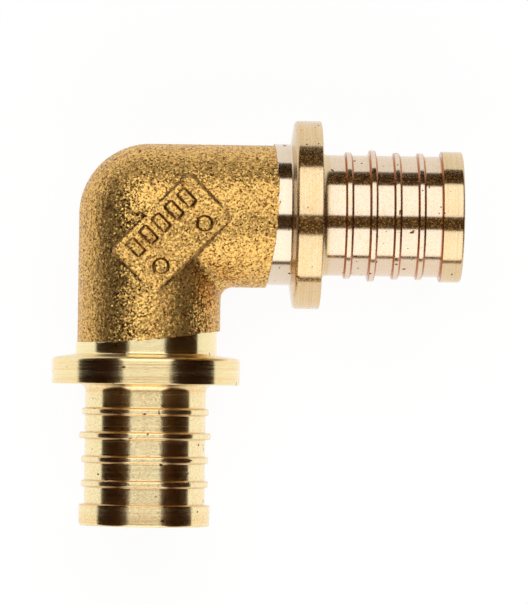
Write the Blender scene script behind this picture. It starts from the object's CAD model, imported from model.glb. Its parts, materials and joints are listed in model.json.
import json
import math
from collections import namedtuple

import bmesh
import bpy
import numpy as np
from mathutils import Matrix, Vector, noise


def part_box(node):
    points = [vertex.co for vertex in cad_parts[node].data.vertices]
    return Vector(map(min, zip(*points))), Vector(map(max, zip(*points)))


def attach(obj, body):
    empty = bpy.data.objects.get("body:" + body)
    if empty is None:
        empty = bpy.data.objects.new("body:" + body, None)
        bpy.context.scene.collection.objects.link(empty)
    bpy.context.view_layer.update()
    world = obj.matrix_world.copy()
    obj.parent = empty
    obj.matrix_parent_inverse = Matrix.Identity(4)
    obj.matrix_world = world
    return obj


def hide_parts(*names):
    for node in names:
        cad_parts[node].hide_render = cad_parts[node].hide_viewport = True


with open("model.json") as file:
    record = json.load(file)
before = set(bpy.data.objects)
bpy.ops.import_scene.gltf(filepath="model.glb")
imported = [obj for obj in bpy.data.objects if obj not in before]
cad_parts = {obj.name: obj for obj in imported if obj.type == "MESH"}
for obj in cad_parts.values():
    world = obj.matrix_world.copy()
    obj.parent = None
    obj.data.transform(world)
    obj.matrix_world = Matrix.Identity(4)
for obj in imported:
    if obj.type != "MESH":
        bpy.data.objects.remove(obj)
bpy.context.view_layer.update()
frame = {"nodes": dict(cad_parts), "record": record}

MM = 0.001

# ---------------------------------------------------------------- sizes, in millimetres
# What the frame says: the mouth, the rim, the end band and the collar's face.
mounts = {m["name"]: m for m in frame["record"]["mounts"]}
low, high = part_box("elbow_body")
mouth = high.x / MM
rim_radius = high.z / MM
band_radius = mounts["spigot_x"]["dims"]["r_mm"]
band_centre = mounts["spigot_x"]["pos_m"][0] / MM
stop_face = mounts["collar_face_x"]["pos_m"][0] / MM

# The rest of the part's own sizes.
band_start = band_centre - mounts["spigot_x"]["dims"]["length_mm"] / 2
bore_radius = 6.5
spigot_radius = 7.92
neck_radius = 9.27
cast_radius = 9.32
cast_shift = 0.3              # the casting sits this far off each turned axis, towards the crotch
collar_thickness = 3.45
collar_cone = 0.45
first_rib = 3.15
rib_width = 0.85
rib_heights = (0.42, 0.72, 0.42, 0.42)
crotch_radius = 1.6
pad_length = 14.0
pad_width = 7.9
pad_offset = 3.8
pad_rise = 0.1
pad_draft = math.radians(8)
pad_corner = 0.9

rim_start = stop_face - collar_thickness
neck_end = rim_start - collar_cone
rib_pitch = (band_start - stop_face - first_rib) / len(rib_heights)
rib_starts = [stop_face + first_rib + number * rib_pitch for number in range(len(rib_heights))]
pad_face = cast_radius + pad_rise
floor_height = low.z / MM

# Where the cast skin stops on the neck.
skin_end = 16.75
skin_ragged = 0.13
skin_lap = 0.4                # how far the lower of the two surfaces runs on under the other
tube_start = 14.0             # where the bores of the turned ends take over from the bend's

# The turned ends.
neck_tuck = 0.5               # how far the hidden start of the neck lies under its surface
outline_step = 0.2            # longest straight stretch of the outline
bore_steps = 30               # the bore is plain, so it takes longer stretches
arc_step = math.radians(15)
segments = 224
chatter = 0.012
map_radius = 8.0              # the map's second axis is true to size at this radius

# The casting.
grain_voxel = 0.2
grain_height = 0.045
pad_foot = 2.0                # the pad's block counts only above this height
pad_fillet = 0.3
pad_edge = 0.16               # round on the edge of the pad's face
mark_height = 0.45
mark_wall = 0.42              # how wide the sloping sides of the marks are
mark_row = 2.0                # how far each row of marks lies from the middle of the pad
bar_count = 5
bar_pitch = 2.3
bar_half_width = 0.42         # of a bar's flat top
bar_half_length = 0.95
pip_radius = 0.75
pip_place = 3.95              # how far each pip lies from the middle of its row

# The two legs. A leg has a seed for its wear, its cast skin's lean and bow (the tool ran further
# along the crotch side), its direction, the way from it to the outside of the bend, its turn from
# the X axis, and the side, before that turn, on which the outside lies.
Leg = namedtuple("Leg", "seed lean bow along outer turn side")
leg_x = Leg(seed=3.0, lean=0.05, bow=0.0095, along=(1, 0), outer=(0, 1), turn=0.0, side=1)
leg_y = Leg(seed=11.0, lean=0.1, bow=0.0068, along=(0, -1), outer=(-1, 0), turn=-math.pi / 2,
            side=-1)


# ---------------------------------------------------------------- helpers
def linear(hex_colour):
    """An sRGB hex colour as the linear colour that a shader wants."""
    parts = [int(hex_colour[i:i + 2], 16) / 255 for i in (1, 3, 5)]
    return [c / 12.92 if c <= 0.04045 else ((c + 0.055) / 1.055) ** 2.4 for c in parts] + [1.0]


def add(tree, kind, inputs=(), **settings):
    """Adds a node. Inputs pair a socket with a value or with the output that feeds it."""
    made = tree.nodes.new(kind)
    for name, value in settings.items():
        setattr(made, name, value)
    for socket, value in dict(inputs).items():
        if isinstance(value, bpy.types.NodeSocket):
            tree.links.new(value, made.inputs[socket])
        else:
            made.inputs[socket].default_value = value
    return made


def mesh_object(name, points, faces, edges=()):
    """A new mesh object from points in millimetres."""
    mesh = bpy.data.meshes.new(name)
    mesh.from_pydata([tuple(c * MM for c in p) for p in points], list(edges), faces)
    mesh.update()
    made = bpy.data.objects.new(name, mesh)
    bpy.context.scene.collection.objects.link(made)
    return made


def settled(source, name):
    """A plain mesh object of what a source object looks like with its modifiers, which then go."""
    bpy.context.view_layer.update()
    graph = bpy.context.evaluated_depsgraph_get()
    mesh = bpy.data.meshes.new_from_object(source.evaluated_get(graph), depsgraph=graph)
    bpy.data.objects.remove(source)
    mesh.name = name
    made = bpy.data.objects.new(name, mesh)
    bpy.context.scene.collection.objects.link(made)
    return made


def points_of(mesh):
    """A mesh's points in millimetres, as an array."""
    flat = np.empty(len(mesh.vertices) * 3)
    mesh.vertices.foreach_get("co", flat)
    return flat.reshape(-1, 3) / MM


def put_points(mesh, points):
    """Moves a mesh's points to places in millimetres."""
    mesh.vertices.foreach_set("co", (points * MM).ravel())
    mesh.update()


def smoothstep(low_edge, high_edge, value):
    """0 below the low edge, 1 above the high edge, and a smooth rise between them."""
    t = np.clip((value - low_edge) / (high_edge - low_edge), 0, 1)
    return t * t * (3 - 2 * t)


# ---------------------------------------------------------------- materials
# Scales of patterns are in cells to the metre, as a material measures an object.
def metal(name, colour, roughness):
    """A new material with a metal shader. Returns it, its tree and its shader."""
    material = bpy.data.materials.new(name)
    material.use_nodes = True
    tree = material.node_tree
    shader = tree.nodes["Principled BSDF"]
    shader.inputs["Metallic"].default_value = 1.0
    shader.inputs["Base Color"].default_value = linear(colour)
    shader.inputs["Roughness"].default_value = roughness
    return material, tree, shader


def attribute(tree, name):
    """A number that the mesh holds at each point."""
    return add(tree, "ShaderNodeAttribute", attribute_name=name).outputs["Fac"]


def ramp(tree, share, start, start_colour, end, end_colour):
    """A colour that goes from one to another as the share goes from the start to the end."""
    made = add(tree, "ShaderNodeValToRGB", {"Fac": share})
    stops = ((start, start_colour), (end, end_colour))
    for element, (place, colour) in zip(made.color_ramp.elements, stops):
        element.position = place
        element.color = linear(colour)
    return made.outputs["Color"]


def over(tree, share, under, colour):
    """A share of one colour laid over what is under it."""
    inputs = {0: share, 6: under, 7: linear(colour)}
    return add(tree, "ShaderNodeMix", inputs, data_type="RGBA").outputs[2]


def blasted_casting():
    """Cast brass with a grit-blasted skin: matt, grainy, with bright facets and darker hollows."""
    material, tree, shader = metal("grit_blasted_cast_brass", "#F2C46E", 0.4)
    place = add(tree, "ShaderNodeTexCoord").outputs["Object"]
    depth = attribute(tree, "grit_depth")
    # Grit leaves facets about a fifth of a millimetre across, each with its own shade and lean.
    # Real ones are finer. These are drawn coarser, so that they show.
    facets = add(tree, "ShaderNodeTexVoronoi", {"Vector": place, "Scale": 5000.0}).outputs["Color"]
    pits = add(tree, "ShaderNodeTexNoise",
               {"Vector": place, "Scale": 3000.0, "Detail": 0.8, "Roughness": 0.5}).outputs["Fac"]
    one = add(tree, "ShaderNodeSeparateXYZ", {0: facets}).outputs[0]
    both = add(tree, "ShaderNodeMix", {0: 0.45, 2: pits, 3: one}).outputs[0]
    shade = ramp(tree, both, 0.22, "#6A3208", 0.58, "#FFCE76")
    # Dark dirt stays along the foot of the pad and of its marks.
    dirty = over(tree, attribute(tree, "grime"), shade, "#2E1206")
    tree.links.new(dirty, shader.inputs["Base Color"])
    # Patches two millimetres across are smoother or rougher.
    patch = add(tree, "ShaderNodeTexNoise", {"Vector": place, "Scale": 500.0, "Detail": 2.0})
    rough = add(tree, "ShaderNodeMapRange", {"Value": patch.outputs["Fac"], "From Min": 0.3,
                                             "From Max": 0.7, "To Min": 0.42, "To Max": 0.34})
    tree.links.new(rough.outputs["Result"], shader.inputs["Roughness"])
    # The pits are bumps, and each facet leans its own way. Both are weaker on the smoother pad.
    height = add(tree, "ShaderNodeMath", {0: pits, 1: depth}, operation="MULTIPLY").outputs[0]
    bump = add(tree, "ShaderNodeBump", {"Strength": 1.0, "Distance": 0.07 * MM, "Height": height})
    facet_lean = 0.55
    steep = add(tree, "ShaderNodeMath", {0: depth, 1: facet_lean}, operation="MULTIPLY").outputs[0]

    def vector(operation, inputs):
        return add(tree, "ShaderNodeVectorMath", inputs, operation=operation).outputs[0]

    lean = vector("SUBTRACT", {0: facets, 1: (0.5, 0.5, 0.5)})
    leaning = vector("SCALE", {0: lean, "Scale": steep})
    tilted = vector("ADD", {0: bump.outputs["Normal"], 1: leaning})
    tree.links.new(vector("NORMALIZE", {0: tilted}), shader.inputs["Normal"])
    return material


def turned_brass(name, dark_ring, pale_ring, polished, torn_colour, smoothest, roughest):
    """Bright turned brass: the tool's fine rings blur a reflection along the axis, not round it."""
    material, tree, shader = metal(name, pale_ring, roughest)
    shader.inputs["Anisotropic"].default_value = 1.0
    tangent = add(tree, "ShaderNodeTangent", direction_type="UV_MAP", uv_map="turned")
    tree.links.new(tangent.outputs["Tangent"], shader.inputs["Tangent"])
    place = add(tree, "ShaderNodeTexCoord").outputs["Object"]
    # Tool rings every tenth of a millimetre or so, drawn a little coarser so that they show. The
    # map is in millimetres along the outline, and the rings drift a little round the part.
    chart = add(tree, "ShaderNodeUVMap", uv_map="turned").outputs[0]
    along = add(tree, "ShaderNodeSeparateXYZ", {0: chart}).outputs[0]
    across = add(tree, "ShaderNodeMath", {0: along, 1: 5.0}, operation="MULTIPLY").outputs[0]
    line = add(tree, "ShaderNodeCombineXYZ", {0: across}).outputs[0]
    drift = add(tree, "ShaderNodeVectorMath", {0: place, 1: (60.0, 60.0, 60.0)},
                operation="MULTIPLY")
    where = add(tree, "ShaderNodeVectorMath", {0: line, 1: drift.outputs[0]}, operation="ADD")
    rings = add(tree, "ShaderNodeTexNoise",
                {"Vector": where.outputs[0], "Scale": 1.0, "Detail": 4.0,
                 "Roughness": 0.75}).outputs["Fac"]
    tone = ramp(tree, rings, 0.3, dark_ring, 0.6, pale_ring)
    paler = over(tree, attribute(tree, "polish"), tone, polished)
    cut = add(tree, "ShaderNodeBump", {"Strength": 1.0, "Distance": 0.005 * MM, "Height": rings})
    tree.links.new(cut.outputs["Normal"], shader.inputs["Normal"])
    # Some rings are smoother than others, so the edges of a reflection step in and out.
    step = add(tree, "ShaderNodeMapRange", {"Value": rings, "From Min": 0.3, "From Max": 0.7,
                                            "To Min": smoothest, "To Max": roughest})
    tree.links.new(step.outputs[0], shader.inputs["Roughness"])
    # A dark film stays where the tool turned each rib's corner.
    filmed = over(tree, attribute(tree, "film"), paler, "#A85024")
    # A few small dark pits.
    holes = add(tree, "ShaderNodeTexNoise", {"Vector": place, "Scale": 1500.0, "Detail": 0.0})
    pit = add(tree, "ShaderNodeMapRange", {"Value": holes.outputs["Fac"], "From Min": 0.79,
                                           "From Max": 0.83})
    tree.links.new(over(tree, pit.outputs[0], filmed, "#1E0C04"), shader.inputs["Base Color"])
    # Torn metal: dull dots a fifth of a millimetre across.
    torn = add(tree, "ShaderNodeTexVoronoi", {"Vector": place, "Scale": 5200.0})
    one = add(tree, "ShaderNodeSeparateXYZ", {0: torn.outputs["Color"]}).outputs[0]
    dots = add(tree, "ShaderNodeMapRange", {"Value": one, "From Min": 0.5, "From Max": 1.0,
                                            "To Min": 0.2}).outputs[0]
    share = add(tree, "ShaderNodeMath", {0: dots, 1: attribute(tree, "tear")}, operation="MULTIPLY")
    torn_roughness = 0.42
    dull = add(tree, "ShaderNodeBsdfPrincipled",
               {"Base Color": linear(torn_colour), "Metallic": 1.0, "Roughness": torn_roughness})
    mixed = add(tree, "ShaderNodeMixShader",
                {0: share.outputs[0], 1: shader.outputs[0], 2: dull.outputs[0]})
    tree.links.new(mixed.outputs[0], tree.nodes["Material Output"].inputs["Surface"])
    return material


def drilled_brass():
    """The drilled waterway: duller than the turned outside, and a little cloudy."""
    material, tree, shader = metal("drilled_brass", "#C9A063", 0.4)
    place = add(tree, "ShaderNodeTexCoord").outputs["Object"]
    cloud = add(tree, "ShaderNodeTexNoise",
                {"Vector": place, "Scale": 900.0, "Detail": 4.0}).outputs["Fac"]
    rough = add(tree, "ShaderNodeMapRange", {"Value": cloud, "To Min": 0.3, "To Max": 0.5})
    tree.links.new(rough.outputs["Result"], shader.inputs["Roughness"])
    bump = add(tree, "ShaderNodeBump", {"Distance": 0.01 * MM, "Height": cloud})
    tree.links.new(bump.outputs["Normal"], shader.inputs["Normal"])
    return material


casting_metal = blasted_casting()
pale_metal = turned_brass(
    "pale_turned_brass", dark_ring="#D6BC8C", pale_ring="#E4D2AE", polished="#E6D6C0",
    torn_colour="#FFBC66", smoothest=0.19, roughest=0.23)
golden_metal = turned_brass(
    "golden_turned_brass", dark_ring="#F8D494", pale_ring="#FFF0BC", polished="#FFF0BC",
    torn_colour="#FF9C3C", smoothest=0.16, roughest=0.28)
drilled_metal = drilled_brass()


# ---------------------------------------------------------------- the turned ends
def rounded(corners):
    """A closed outline through the corners (x, r, radius of the round there), whose straight
    stretches are cut into short ones."""
    out = []
    count = len(corners)
    for i, (x, r, radius) in enumerate(corners):
        here = Vector((x, r))
        before = Vector(corners[i - 1][:2])
        after = Vector(corners[(i + 1) % count][:2])
        arc = [here]
        if radius:
            a = (before - here).normalized()
            b = (after - here).normalized()
            half = a.angle(b) / 2
            centre = here + (a + b).normalized() * radius / math.sin(half)
            first = here + a * radius / math.tan(half) - centre
            last = here + b * radius / math.tan(half) - centre
            turn = math.atan2(first.x * last.y - first.y * last.x, first.dot(last))
            pieces = max(4, round(abs(turn) / arc_step))
            arc = [centre + Vector((math.cos(t) * first.x - math.sin(t) * first.y,
                                    math.sin(t) * first.x + math.cos(t) * first.y))
                   for t in (turn * k / pieces for k in range(pieces + 1))]
        if out:
            gap = arc[0] - out[-1]
            cuts = max(1, math.ceil(gap.length / outline_step))
            out += [out[-1] + gap * (k / cuts) for k in range(1, cuts)]
        out += arc
    return out


def end_outline():
    """Half section of a turned end: neck, collar, root, ribs, band, mouth, bore."""
    # Each corner: how far along the axis, its radius, and the round on it.
    corners = [
        (tube_start, neck_radius - neck_tuck, 0),
        (skin_end - 0.15, neck_radius - neck_tuck, 0),
        (skin_end, neck_radius, 0.06),
        (neck_end, neck_radius, 0.22),
        (rim_start, rim_radius, 0.5),
        (stop_face, rim_radius, 0.16),
        (stop_face, spigot_radius, 0.95),
    ]
    for start, height in zip(rib_starts, rib_heights):
        top = spigot_radius + height
        corners += [
            (start, spigot_radius, 0.14),
            (start, top, 0.22),
            (start + rib_width, top, 0.22),
            (start + rib_width, spigot_radius, 0.14),
        ]
    corners += [
        (band_start, spigot_radius, 0.08),
        (band_start, band_radius, 0.14),
        (mouth, band_radius, 0.28),
        (mouth, bore_radius, 0.28),
    ]
    outer = rounded(corners)
    last = outer[-1].x
    bore = [Vector((last + (tube_start - last) * k / bore_steps, bore_radius))
            for k in range(1, bore_steps + 1)]
    return outer + bore + [outer[0]]


def lathe_tree():
    """Turns an outline about the X axis, with slight chatter, and maps it in millimetres."""
    tree = bpy.data.node_groups.new("lathe", "GeometryNodeTree")
    face = tree.interface
    face.new_socket("Outline", in_out="INPUT", socket_type="NodeSocketGeometry")
    for name, kind in (("Segments", "Int"), ("Chatter", "Float"), ("Seed", "Float"),
                       ("Bore Radius", "Float"), ("Outside", "Material"), ("Bore", "Material")):
        face.new_socket(name, in_out="INPUT", socket_type="NodeSocket" + kind)
    face.new_socket("Turned", in_out="OUTPUT", socket_type="NodeSocketGeometry")
    given = add(tree, "NodeGroupInput").outputs

    def maths(operation, a, b=0.0):
        return add(tree, "ShaderNodeMath", {0: a, 1: b}, operation=operation).outputs[0]

    def at_row(value, kind):
        """What the outline holds at the row's own point."""
        inputs = {"Geometry": given["Outline"], "Value": value, "Index": row}
        return add(tree, "GeometryNodeSampleIndex", inputs, data_type=kind).outputs["Value"]

    def kept(geometry, name, value, kind, domain="POINT"):
        """The geometry with a value kept on it by name."""
        inputs = {"Geometry": geometry, "Name": name, "Value": value}
        return add(tree, "GeometryNodeStoreNamedAttribute", inputs, data_type=kind,
                   domain=domain).outputs[0]

    def named(name, kind):
        """What the points hold by that name."""
        return add(tree, "GeometryNodeInputNamedAttribute", {"Name": name},
                   data_type=kind).outputs[0]

    # A grid with a column for each segment and a row for each point of the outline.
    size = add(tree, "GeometryNodeAttributeDomainSize", {"Geometry": given["Outline"]})
    count = size.outputs["Point Count"]
    columns = maths("ADD", given["Segments"], 1.0)
    grid = add(tree, "GeometryNodeMeshGrid", {"Size X": 1.0, "Size Y": 1.0, "Vertices X": columns,
                                              "Vertices Y": count})
    index = add(tree, "GeometryNodeInputIndex").outputs[0]
    column = maths("FLOOR", maths("DIVIDE", maths("ADD", index, 0.5), count))
    row = maths("SUBTRACT", index, maths("MULTIPLY", column, count))
    angle = maths("MULTIPLY", maths("DIVIDE", column, given["Segments"]), -2 * math.pi)
    place = add(tree, "GeometryNodeInputPosition").outputs[0]
    x, r, _ = add(tree, "ShaderNodeSeparateXYZ", {0: at_row(place, "FLOAT_VECTOR")}).outputs
    sampled = {name: at_row(named(name, "FLOAT"), "FLOAT")
               for name in ("run", "polish", "film", "tear")}

    def round_axis(radius):
        """The place at the column's angle, a radius from the axis."""
        across = maths("MULTIPLY", radius, maths("COSINE", angle))
        up = maths("MULTIPLY", radius, maths("SINE", angle))
        return add(tree, "ShaderNodeCombineXYZ", {0: x, 1: across, 2: up}).outputs[0]

    # Chatter swells the metal here and there, and leaves the bore alone.
    swell = add(tree, "ShaderNodeTexNoise",
                {"Vector": round_axis(r), "W": given["Seed"], "Scale": 260.0, "Detail": 2.0},
                noise_dimensions="4D").outputs["Fac"]
    push = maths("MULTIPLY", maths("SUBTRACT", swell, 0.5), given["Chatter"])
    outside = maths("GREATER_THAN", r, maths("ADD", given["Bore Radius"], 0.2 * MM))
    moved = round_axis(maths("ADD", r, maths("MULTIPLY", push, outside)))
    shaped = add(tree, "GeometryNodeSetPosition",
                 {"Geometry": grid.outputs["Mesh"], "Position": moved})
    # The map is kept on the points first, because an index on the corners would count corners.
    round_part = maths("MULTIPLY", angle, map_radius)
    chart = add(tree, "ShaderNodeCombineXYZ", {0: sampled["run"], 1: round_part}).outputs[0]
    noted = kept(shaped.outputs[0], "chart", chart, "FLOAT_VECTOR")
    for name in ("polish", "film", "tear"):
        noted = kept(noted, name, sampled[name], "FLOAT")
    mapped = kept(noted, "turned", named("chart", "FLOAT_VECTOR"), "FLOAT2", "CORNER")
    cleared = add(tree, "GeometryNodeRemoveAttribute", {"Geometry": mapped, "Name": "chart"})
    closed = add(tree, "GeometryNodeMergeByDistance",
                 {"Geometry": cleared.outputs[0], "Distance": 0.002 * MM})
    solid = add(tree, "GeometryNodeRealizeInstances", {"Geometry": closed.outputs[0]})
    smooth = add(tree, "GeometryNodeSetShadeSmooth", {"Geometry": solid.outputs[0]})
    faced = add(tree, "GeometryNodeSetMaterial",
                {"Geometry": smooth.outputs[0], "Material": given["Outside"]})
    _, across, up = add(tree, "ShaderNodeSeparateXYZ", {0: place}).outputs
    reach = maths("POWER", maths("ADD", maths("POWER", across, 2.0), maths("POWER", up, 2.0)), 0.5)
    bore_reach = maths("ADD", given["Bore Radius"], 0.05 * MM)
    inner = add(tree, "FunctionNodeCompare", {0: reach, 1: bore_reach}, operation="LESS_THAN")
    bored = add(tree, "GeometryNodeSetMaterial",
                {"Geometry": faced.outputs[0], "Material": given["Bore"],
                 "Selection": inner.outputs[0]})
    add(tree, "NodeGroupOutput", {"Turned": bored.outputs[0]})
    return tree


def set_inputs(modifier, **values):
    """Sets a tree's named inputs by their sockets' identifiers; underscores stand for spaces."""
    for item in modifier.node_group.interface.items_tree:
        key = item.name.replace(" ", "_")
        if item.in_out == "INPUT" and key in values:
            modifier[item.identifier] = values[key]


def skin_edge(y, z, leg):
    """How far the cast skin's ragged edge lies from its plain place, round a leg on the X axis.
    The second result is 1 where the casting stands proud of the neck, and 0 where it lies below."""
    grain = 1.5
    fray = np.array([noise.fractal(Vector((b * grain, c * grain, leg.seed)), 0.6, 2.2, 4)
                     for b, c in zip(y, z)])
    shift = leg.lean * y - leg.bow * y * y + skin_ragged * fray
    return shift, 1 - smoothstep(0.05, 0.3, y / np.hypot(y, z))


def turned_end(name, tree, leg, material, film, collar_tear, tear):
    """One turned end. Film is how dark its ribs' sides are. The tears are how dull its collar is,
    and how dull the rest."""
    outline = end_outline()
    source = mesh_object(name + "_outline", [(p.x, p.y, 0) for p in outline], [],
                         [(i, i + 1) for i in range(len(outline) - 1)])
    walls = [band_start] + rib_starts + [start + rib_width for start in rib_starts]
    film_reach = 0.13             # how far from a wall the film reaches
    neck_share = 0.4              # how torn the neck is beside the spigot

    def polish_at(p):
        """The neck and the spigot between its ribs are smoother than the collar and the band."""
        return float(p.x < neck_end or stop_face + 1.0 < p.x < band_start - 0.05)

    def film_at(p):
        """The film lies on the sides of the ribs and of the band."""
        beside = min(abs(p.x - wall) for wall in walls) < film_reach
        return film * float(p.y > spigot_radius and beside)

    def tear_at(p):
        """The collar has its own tears, and the neck has fewer than the spigot."""
        if neck_end < p.x < stop_face + 0.02:
            return collar_tear
        return tear * (neck_share if p.x < neck_end else 1)

    values = {
        "run": np.cumsum([0.0] + [(b - a).length for a, b in zip(outline, outline[1:])]),
        "polish": [polish_at(p) for p in outline],
        "film": [film_at(p) for p in outline],
        "tear": [tear_at(p) for p in outline],
    }
    for key, numbers in values.items():
        source.data.attributes.new(key, "FLOAT", "POINT").data.foreach_set("value", numbers)
    modifier = source.modifiers.new("lathe", "NODES")
    modifier.node_group = tree
    set_inputs(modifier, Segments=segments, Chatter=chatter * MM, Seed=leg.seed,
               Bore_Radius=bore_radius * MM, Outside=material, Bore=drilled_metal)
    made = settled(source, name)
    # The start of the neck follows the ragged edge of the cast skin.
    points = points_of(made.data)
    x, y, z = points.T
    near = np.where((x < neck_end) & (np.hypot(y, z) > bore_radius + 0.5))[0]
    shift, proud = skin_edge(leg.side * y[near], z[near], leg)
    rise = smoothstep(tube_start, tube_start + 1.5, x[near])
    fall = smoothstep(skin_end, neck_end - 0.3, x[near])
    points[near, 0] += rise * (1 - fall) * (shift - skin_lap * proud)
    put_points(made.data, points)
    made.data.transform(Matrix.Rotation(leg.turn, 4, "Z"))
    return made


# ---------------------------------------------------------------- the casting
def round_union(a, b, radius):
    """Joins two distances with a fillet."""
    radius = np.maximum(radius, 1e-6)
    inner = np.hypot(np.maximum(radius - a, 0), np.maximum(radius - b, 0))
    return np.maximum(radius, np.minimum(a, b)) - inner


def from_bores(x, y, z):
    """How far each point lies from the middle of the nearer bore, or of the ball between them."""
    bore_x = np.where(x > 0, np.hypot(y, z), np.inf)
    bore_y = np.where(y < 0, np.hypot(x, z), np.inf)
    return np.minimum(np.minimum(bore_x, bore_y), np.sqrt(x * x + y * y + z * z))


def on_pad(p):
    """Places on the pad: along it, across it, both from its middle."""
    x, y = p[:, 0] - cast_shift, p[:, 1] + cast_shift
    return (x + y) / math.sqrt(2), (x - y) / math.sqrt(2) - pad_offset


def pad_distance(p):
    """How far each point lies outside the pad's own block."""
    along, across = on_pad(p)
    spread = np.maximum(pad_face - p[:, 2], 0) * math.tan(pad_draft)
    side_u = np.abs(along) - pad_length / 2 - spread + pad_corner
    side_v = np.abs(across) - pad_width / 2 - spread + pad_corner
    outside = np.hypot(np.maximum(side_u, 0), np.maximum(side_v, 0))
    side = (outside + np.minimum(np.maximum(side_u, side_v), 0) - pad_corner) * math.cos(pad_draft)
    top = p[:, 2] - pad_face
    corner = np.hypot(np.maximum(side + pad_edge, 0), np.maximum(top + pad_edge, 0))
    return np.minimum(np.maximum(side, top), -pad_edge) + corner


def cast_distance(p):
    """How far each point lies outside the casting, in millimetres."""
    x, y, z = (p - np.array([cast_shift, -cast_shift, 0.0])).T
    back_x, back_y = np.minimum(x, 0), np.maximum(y, 0)
    long_x = np.sqrt(back_x**2 + y**2 + z**2)
    long_y = np.sqrt(x**2 + back_y**2 + z**2)
    # The fillet between the legs fades out where both surfaces face the same way.
    agree = (back_x * x + y * back_y + z * z) / np.maximum(long_x * long_y, 1e-6)
    body = round_union(long_x - cast_radius, long_y - cast_radius, crotch_radius * (1 - agree))
    far_off = 9.0
    body = round_union(body, np.where(z > pad_foot, pad_distance(p), far_off), pad_fillet)
    # The waterway, which opens out by a millimetre where the turned ends' bores take over.
    drill = from_bores(*p.T) - bore_radius
    wide = smoothstep(tube_start - 0.2, tube_start + 0.2, np.maximum(p[:, 0], -p[:, 1]))
    return np.maximum(body, -(drill - wide))


def onto_casting(points):
    """Moves points onto the casting's surface, along the slope of its distance."""
    rounds = 5
    step = 0.01
    for _ in range(rounds):
        d = cast_distance(points)
        slope = np.stack([(cast_distance(points + step * axis) - d) / step
                          for axis in np.eye(3)], 1)
        slope /= np.maximum(np.sum(slope**2, 1, keepdims=True), 0.25)
        points = points - np.clip(d, -0.4, 0.4)[:, None] * slope
    return points


def rough_casting():
    """The casting cut out of a copy of the frame's solid, as an even skin of small faces."""
    copy = frame["nodes"]["elbow_body"].data.copy()
    shape = bmesh.new()
    shape.from_mesh(copy)
    bpy.data.meshes.remove(copy)
    bmesh.ops.remove_doubles(shape, verts=shape.verts, dist=0.001 * MM)
    for leg in (leg_x, leg_y):
        along = Vector((*leg.along, 0))
        outer = Vector((*leg.outer, 0))
        facing = (along - leg.lean * outer).normalized()
        cut = bmesh.ops.bisect_plane(shape, geom=shape.verts[:] + shape.edges[:] + shape.faces[:],
                                     plane_co=along * skin_end * MM, plane_no=facing,
                                     clear_outer=True)
        rim = [e for e in cut["geom_cut"] if isinstance(e, bmesh.types.BMEdge)]
        bmesh.ops.triangle_fill(shape, edges=rim, use_beauty=True)
    bmesh.ops.recalc_face_normals(shape, faces=shape.faces)
    mesh = bpy.data.meshes.new("rough_casting")
    shape.to_mesh(mesh)
    shape.free()
    rough = bpy.data.objects.new("rough_casting", mesh)
    bpy.context.scene.collection.objects.link(rough)
    remesh = rough.modifiers.new("skin", "REMESH")
    remesh.mode = "VOXEL"
    remesh.voxel_size = grain_voxel * MM
    return settled(rough, "elbow_casting")


def marks(along, across):
    """Height of the plain marks on the pad, from 0 to 1: upright bars over two round pips."""
    height = np.zeros(len(along))
    for number in range(bar_count):
        centre = (number - (bar_count - 1) / 2) * bar_pitch
        u = np.maximum(np.abs(along - centre) - bar_half_width, 0)
        v = np.maximum(np.abs(across + mark_row) - bar_half_length, 0)
        height = np.maximum(height, 1 - smoothstep(0.0, mark_wall, np.hypot(u, v)))
    for centre in (-pip_place, pip_place):
        away = np.hypot(along - centre, across - mark_row)
        height = np.maximum(height, 1 - smoothstep(pip_radius, pip_radius + mark_wall, away))
    return height


def refine_pad(mesh):
    """Halves the faces on and round the pad, so that its edges and marks come out crisp."""
    margin = 0.7
    depth = 2.2
    shape = bmesh.new()
    shape.from_mesh(mesh)
    points = points_of(mesh)
    along, across = on_pad(points)
    near = ((np.abs(along) < pad_length / 2 + margin) & (np.abs(across) < pad_width / 2 + margin)
            & (points[:, 2] > pad_face - depth))
    shape.verts.ensure_lookup_table()
    edges = [e for e in shape.edges if near[e.verts[0].index] and near[e.verts[1].index]]
    bmesh.ops.subdivide_edges(shape, edges=edges, cuts=1, use_grid_fill=True)
    shape.to_mesh(mesh)
    shape.free()


def fray_ends(points):
    """Moves the casting's two ends to their ragged edges."""
    for leg in (leg_x, leg_y):
        x, y = points[:, :2] @ np.array(leg.along), points[:, :2] @ np.array(leg.outer)
        near = np.where(x > tube_start + 0.4)[0]
        shift, proud = skin_edge(y[near], points[near, 2], leg)
        shift += skin_lap * (1 - proud) - leg.lean * y[near]
        weight = smoothstep(tube_start + 0.4, skin_end - 0.3, x[near])
        points[near, :2] += (weight * shift)[:, None] * np.array(leg.along)


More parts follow.
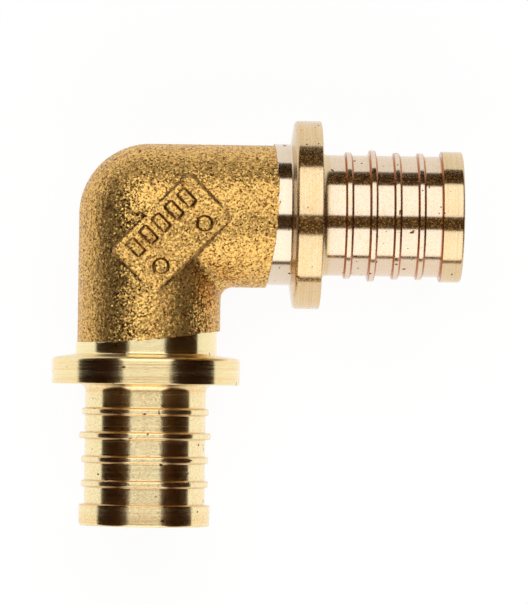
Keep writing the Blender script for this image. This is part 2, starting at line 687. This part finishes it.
def casting():
    """The casting: its shape, its grit marks, finer on the pad, and the pad's raised marks."""
    made = rough_casting()
    mesh = made.data
    put_points(mesh, onto_casting(points_of(mesh)))
    refine_pad(mesh)
    points = onto_casting(points_of(mesh))
    fray_ends(points)
    put_points(mesh, points)
    normals = np.empty(len(mesh.vertices) * 3)
    mesh.vertices.foreach_get("normal", normals)
    z = points[:, 2]
    skin = smoothstep(bore_radius + 0.6, bore_radius + 1.6, from_bores(*points.T))
    along, across = on_pad(points)
    flat = ((np.abs(along) < pad_length / 2 - 0.1) & (np.abs(across) < pad_width / 2 - 0.1)
            & (z > pad_face - 0.2))
    grain = np.array([noise.noise(Vector(p) * 2.6) + 0.6 * noise.noise(Vector(p) * 5.2)
                      for p in points])
    depth = skin * np.where(flat, 0.5, 0.8)
    points += normals.reshape(-1, 3) * (grain_height * grain * depth)[:, None]
    raised = np.where(flat, marks(along, across), 0.0)
    points[:, 2] += mark_height * raised
    # Dirt, in uneven amounts, along the foot of the pad and on the sides of its marks.
    foot = np.clip(1 - np.abs(pad_distance(points) - 0.12) / 0.22, 0, 1)
    foot *= (z > pad_foot) * (z < pad_face - 0.12)
    uneven = np.array([0.75 + 0.6 * noise.noise(Vector(p) * 0.9) for p in points])
    grime = np.clip(np.maximum(foot, 4 * raised * (1 - raised)) * uneven, 0, 1)
    put_points(mesh, points)
    mesh.attributes.new("grit_depth", "FLOAT", "POINT").data.foreach_set("value", depth)
    mesh.attributes.new("grime", "FLOAT", "POINT").data.foreach_set("value", grime)
    # The waterway's faces are drilled, the others cast.
    mesh.materials.clear()
    mesh.materials.append(casting_metal)
    mesh.materials.append(drilled_metal)
    centres = np.empty(len(mesh.polygons) * 3)
    mesh.polygons.foreach_get("center", centres)
    drilled = from_bores(*(centres.reshape(-1, 3) / MM).T) < bore_radius + 0.3
    mesh.polygons.foreach_set("material_index", drilled.astype(int))
    mesh.polygons.foreach_set("use_smooth", [True] * len(mesh.polygons))
    return made


end_tree = lathe_tree()
pieces = [
    casting(),
    turned_end("turned_end_x", end_tree, leg_x, pale_metal, film=0.85, collar_tear=0.52, tear=0.38),
    turned_end("turned_end_y", end_tree, leg_y, golden_metal, film=0.3, collar_tear=0.12, tear=0.3),
]
for piece in pieces:
    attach(piece, "root")
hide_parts("elbow_body")


# ---------------------------------------------------------------- floor, light and camera
def pale_floor():
    """Matt white paper. Looks and reflections find it plain white, with the part's soft shadow."""
    name = "matt_white_paper"
    half = 600                    # from the middle of the sheet to its edges
    plain_share = 0.88            # of what is seen, how much is plain white
    white_level = 1.06
    corners = [(-half, -half), (half, -half), (half, half), (-half, half)]
    sheet = mesh_object(name, [(x, y, floor_height) for x, y in corners], [(0, 1, 2, 3)])
    material = bpy.data.materials.new(name)
    material.use_nodes = True
    tree = material.node_tree
    tree.nodes.clear()
    sheet.data.materials.append(material)
    ray = add(tree, "ShaderNodeLightPath").outputs
    paper = add(tree, "ShaderNodeBsdfDiffuse", {"Color": linear("#F4F4F2")})
    lit = add(tree, "ShaderNodeEmission", {"Color": linear("#FFFFFF"), "Strength": white_level})
    seen = add(tree, "ShaderNodeMath", {0: ray["Is Camera Ray"], 1: ray["Is Glossy Ray"]},
               operation="MAXIMUM")
    shown = add(tree, "ShaderNodeMath", {0: seen.outputs[0], 1: ray["Is Transmission Ray"]},
                operation="MAXIMUM")
    # The rest is the paper itself, which shows the shadow.
    part = add(tree, "ShaderNodeMath", {0: shown.outputs[0], 1: plain_share}, operation="MULTIPLY")
    mix = add(tree, "ShaderNodeMixShader",
              {0: part.outputs[0], 1: paper.outputs[0], 2: lit.outputs[0]})
    add(tree, "ShaderNodeOutputMaterial", {"Surface": mix.outputs[0]})


def soft_box(name, place, target, width, height, level):
    """A rectangular soft box at a place, facing a target, in millimetres. Its level is how bright
    its face is."""
    light = bpy.data.lights.new(name, "AREA")
    light.shape = "RECTANGLE"
    light.size = width * MM
    light.size_y = height * MM
    light.energy = 4 * width * height * MM * MM * level
    made = bpy.data.objects.new(name, light)
    bpy.context.scene.collection.objects.link(made)
    away = (Vector(place) - Vector(target)).normalized()
    turn = away.to_track_quat("Z", "Y").to_matrix().to_4x4()
    made.matrix_world = Matrix.Translation(Vector(place) * MM) @ turn
    made.visible_camera = False
    return made


def studio():
    """Two wide soft boxes over the part, tilted to either side. The camera sees white beyond the
    floor. Reflections see a nearly black room there."""
    middle = Vector((0, -10, 0))
    reach = 500.0                 # from the middle to each box
    width = 580
    level = 1.22
    # Each box: its tilt from straight above, and how wide it looks from the part, in degrees.
    for name, tilt, spread in (("upper_soft_box", 29.3, 59.4), ("lower_soft_box", -54.5, 58)):
        angle = math.radians(tilt)
        place = middle + Vector((0, math.sin(angle), math.cos(angle))) * reach
        tall = 2 * reach * math.tan(math.radians(spread / 2))
        soft_box(name, place, middle, width, tall, level)
    world = bpy.data.worlds.new("studio")
    bpy.context.scene.world = world
    world.use_nodes = True
    tree = world.node_tree
    tree.nodes.clear()
    ray = add(tree, "ShaderNodeLightPath").outputs
    room = add(tree, "ShaderNodeBackground", {"Color": linear("#190C07"), "Strength": 1.0})
    white = add(tree, "ShaderNodeBackground", {"Color": linear("#FFFFFF"), "Strength": 1.0})
    mix = add(tree, "ShaderNodeMixShader",
              {0: ray["Is Camera Ray"], 1: room.outputs[0], 2: white.outputs[0]})
    add(tree, "ShaderNodeOutputWorld", {"Surface": mix.outputs[0]})


def camera():
    """A long lens almost straight above, two thirds of a metre off."""
    lens = bpy.data.cameras.new("camera")
    lens.sensor_width = 36.0
    lens.lens = 308.5
    lens.clip_start = 0.05
    made = bpy.data.objects.new("camera", lens)
    bpy.context.scene.collection.objects.link(made)
    place = Vector((-8.94, -23.35, 677.903)) * MM
    turn = Vector((0.98759, -2.05818, 0.81313)) * math.pi / 180    # about this axis, by its length
    swing = Matrix.Rotation(turn.length, 4, turn.normalized())
    made.matrix_world = Matrix.Translation(place) @ swing
    bpy.context.scene.camera = made


pale_floor()
studio()
camera()
bpy.context.scene.view_settings.view_transform = "Standard"
